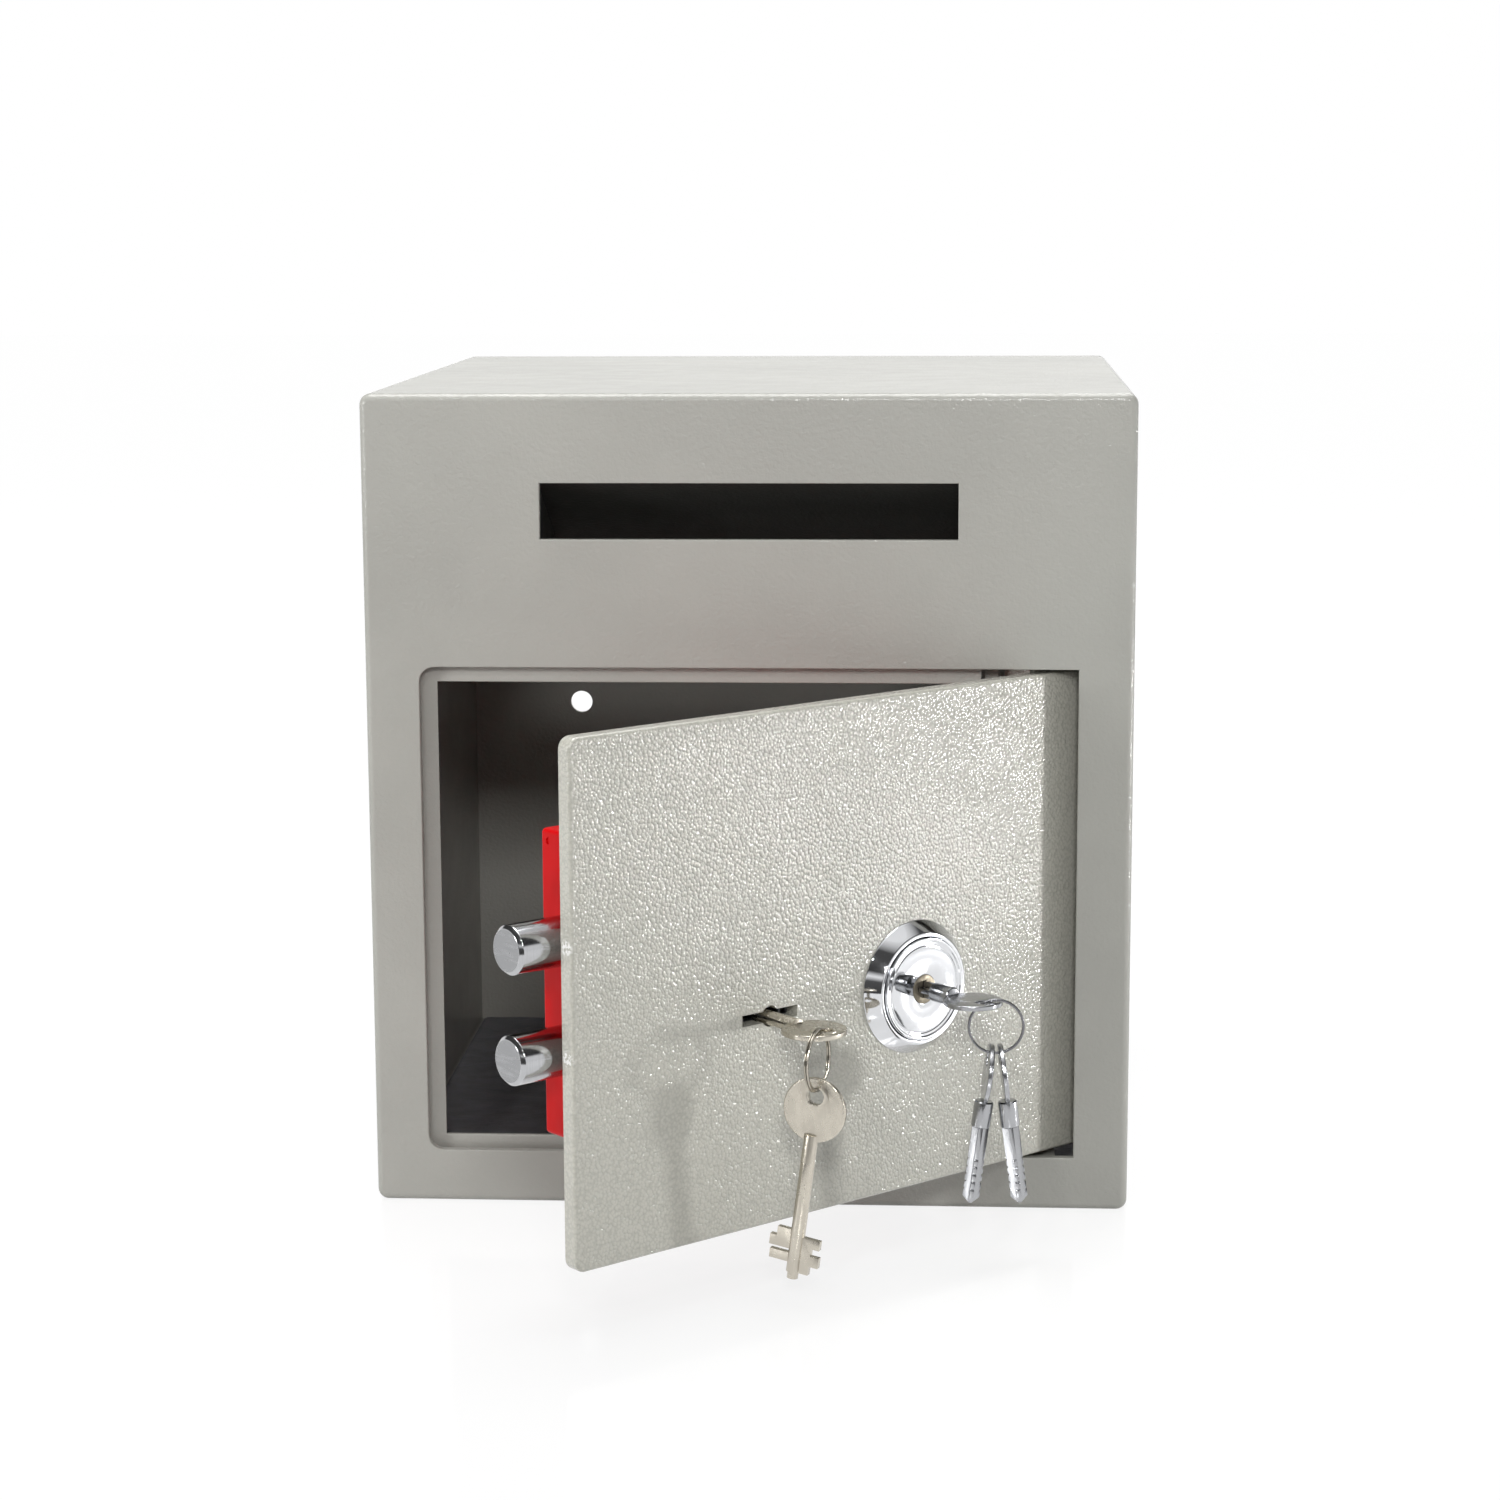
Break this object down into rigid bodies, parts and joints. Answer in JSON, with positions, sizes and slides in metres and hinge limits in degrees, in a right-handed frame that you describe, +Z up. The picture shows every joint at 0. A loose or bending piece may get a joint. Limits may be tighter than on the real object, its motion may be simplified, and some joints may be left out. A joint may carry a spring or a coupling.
{
  "type": "deposit safe",
  "caption": "Grey steel front-loading deposit safe, door ajar, with round bolts, a red inner cover, a lever lock and a cylinder lock with their keys.",
  "frame": {"origin": "centre of the base of the cabinet, on the surface it stands on", "axes": "+X to the right seen from the front, +Y to the back, +Z up; the door opens towards -Y"},
  "size_m": [0.35, 0.515, 0.377],
  "materials": {
    "grey_enamel": "smooth light grey powder coat",
    "textured_enamel": "light grey textured powder coat with a fine glossy grain",
    "red_enamel": "glossy red enamel",
    "felt": "dark felt",
    "plain_steel": "zinc-plated steel",
    "polished_steel": "polished chrome",
    "nickel": "satin nickel",
    "brass": "satin brass"
  },
  "bodies": {
    "cabinet": {"body_shell": "grey_enamel", "front_plate": "grey_enamel", "back_panel": "grey_enamel", "slot_hood": "grey_enamel", "floor_mat": "felt", "stop_strip_left": "grey_enamel", "stop_strip_top": "grey_enamel", "stop_strip_bottom": "grey_enamel", "hinge_bracket_upper": "grey_enamel", "hinge_bracket_lower": "grey_enamel", "hinge_bush_upper": "brass", "hinge_bush_lower": "brass"},
    "door": {"door_plate": "textured_enamel", "hinge_knuckle_upper": "textured_enamel", "hinge_knuckle_lower": "textured_enamel", "hinge_pin_upper": "plain_steel", "hinge_pin_lower": "plain_steel", "bolt_housing": "red_enamel", "housing_pillars": "plain_steel", "housing_screws": "plain_steel", "bolt_guide": "plain_steel", "lock_case": "plain_steel", "lock_cap": "plain_steel", "lock_screws": "plain_steel", "lever_post": "plain_steel", "rosette": "polished_steel", "cylinder_body": "polished_steel", "cylinder_nut": "brass"},
    "bolt_work": {"bolt_lower": "polished_steel", "bolt_upper": "polished_steel", "bolt_carrier": "plain_steel", "carrier_screws": "plain_steel", "lock_tail": "plain_steel"},
    "levers": {"lock_levers": "brass"},
    "curtain": {"lock_curtain": "plain_steel"},
    "key_in_lever_lock": {"lever_key": "nickel"},
    "lever_ring": {"lever_key_ring": "nickel"},
    "lever_spare": {"lever_key_spare": "nickel"},
    "plug": {"cylinder_plug": "brass", "locking_cam": "plain_steel", "cam_screw": "plain_steel"},
    "key_in_cylinder": {"cross_key": "polished_steel"},
    "cross_ring": {"cross_key_ring": "polished_steel"},
    "cross_spare_left": {"cross_key_spare_left": "polished_steel"},
    "cross_spare_right": {"cross_key_spare_right": "polished_steel"}
  },
  "joints": [
    {"name": "door_hinge", "type": "hinge", "parent": "cabinet", "child": "door", "pos_m": [0.1248, -0.145, 0.1388], "axis": [0, 0, 1], "range_deg": [-43.4, 51.6]},
    {"name": "lever_key_turn", "type": "hinge", "parent": "door", "child": "curtain", "pos_m": [0.01626, -0.27517, 0.1183], "axis": [-0.6871, 0.7266, 0], "range_deg": [0, 180]},
    {"name": "lever_key_pull", "type": "slide", "parent": "curtain", "child": "key_in_lever_lock", "axis": [0.6871, -0.7266, 0], "range_m": [0, 0.052]},
    {"name": "bolt_slide", "type": "slide", "parent": "door", "child": "bolt_work", "axis": [0.7266, 0.6871, 0], "range_m": [0, 0.0175]},
    {"name": "lever_lift", "type": "hinge", "parent": "door", "child": "levers", "pos_m": [0.00783, -0.23497, 0.1183], "axis": [-0.6871, 0.7266, 0], "range_deg": [0, 3]},
    {"name": "lever_ring_swing", "type": "hinge", "parent": "key_in_lever_lock", "child": "lever_ring", "pos_m": [0.03801, -0.30716, 0.1085], "axis": [-0.9438, 0.3305, 0], "range_deg": [-5, 15]},
    {"name": "lever_spare_swing", "type": "hinge", "parent": "lever_ring", "child": "lever_spare", "pos_m": [0.03801, -0.30716, 0.0958], "axis": [-0.3305, -0.9438, 0], "range_deg": [-10, 20]},
    {"name": "cylinder_turn", "type": "hinge", "parent": "door", "child": "plug", "pos_m": [0.07671, -0.218, 0.1188], "axis": [-0.6871, 0.7266, 0], "range_deg": [-90, 0]},
    {"name": "cross_key_pull", "type": "slide", "parent": "plug", "child": "key_in_cylinder", "axis": [0.6871, -0.7266, 0], "range_m": [0, 0.045]},
    {"name": "cross_ring_swing", "type": "hinge", "parent": "key_in_cylinder", "child": "cross_ring", "pos_m": [0.11295, -0.24997, 0.1091], "axis": [0.0645, -0.9979, 0], "range_deg": [-15, 15]},
    {"name": "cross_spare_left_swing", "type": "hinge", "parent": "cross_ring", "child": "cross_spare_left", "pos_m": [0.11075, -0.25011, 0.09751], "axis": [0.9979, 0.0645, 0], "range_deg": [-20, 20]},
    {"name": "cross_spare_right_swing", "type": "hinge", "parent": "cross_ring", "child": "cross_spare_right", "pos_m": [0.11514, -0.24983, 0.09751], "axis": [0.9979, 0.0645, 0], "range_deg": [-20, 20]}
  ],
  "couplings": [
    {"joint": "lever_key_turn", "follows": "bolt_slide", "rad_per_m": 179.52}
  ]
}
